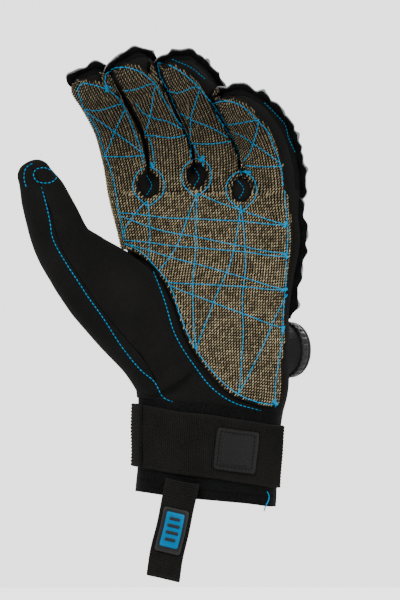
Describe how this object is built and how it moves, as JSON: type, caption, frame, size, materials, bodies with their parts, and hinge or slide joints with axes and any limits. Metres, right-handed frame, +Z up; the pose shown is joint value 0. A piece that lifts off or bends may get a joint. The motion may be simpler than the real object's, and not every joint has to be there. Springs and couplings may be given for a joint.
{
  "type": "water ski glove",
  "caption": "Left-hand water ski glove with a knit palm overlay, raised seam edges, a wrist strap, a pull tab and a closure dial, shaped as worn with the fingers half curled.",
  "frame": {"origin": "centre of the wrist opening, at the hem of the cuff", "axes": "+Z up the hand towards the fingers, the palm faces -Y, the thumb is at -X"},
  "size_m": [0.1417, 0.0798, 0.2578],
  "materials": {
    "knit": "tan and black abrasion-proof knit, matt",
    "suede": "black synthetic suede, matt",
    "stretch": "black stretch cloth",
    "neoprene": "black cloth-faced neoprene",
    "silver_trim": "silver-grey coated cloth",
    "webbing": "black ribbed webbing",
    "leather": "dark grey embossed leather, semi-matt",
    "blue_thread": "bright blue sewing thread",
    "dark_thread": "black sewing thread",
    "rubber": "dark grey moulded rubber",
    "blue_rubber": "blue moulded rubber",
    "plastic": "black moulded plastic",
    "steel": "plain steel"
  },
  "bodies": {
    "glove": {"palm_knit": "knit", "palm_base": "suede", "thumb_back": "suede", "back_panel": "neoprene", "index_side": "stretch", "index_seam_edge": "neoprene", "middle_side": "stretch", "middle_seam_edge": "neoprene", "ring_side": "stretch", "ring_seam_edge": "neoprene", "little_side": "stretch", "little_seam_edge": "neoprene", "side_seam_edge": "neoprene", "cuff": "neoprene", "wrist_strap": "webbing", "strap_end": "webbing", "patch": "leather", "dial_housing": "plastic", "dial_hub": "plastic", "pull_tab": "webbing", "label_plate": "rubber", "label_inset": "blue_rubber"},
    "dial_core": {"dial_spindle": "steel"},
    "dial_cap": {"dial_knob": "rubber"}
  },
  "joints": [
    {"name": "dial_pull", "type": "slide", "parent": "glove", "child": "dial_core", "axis": [0.7431, 0.6691, 0], "range_m": [0, 0.002]},
    {"name": "dial_turn", "type": "hinge", "parent": "dial_core", "child": "dial_cap", "pos_m": [0.0356, 0.0114, 0.0713], "axis": [0.7431, 0.6691, 0], "continuous": true}
  ]
}
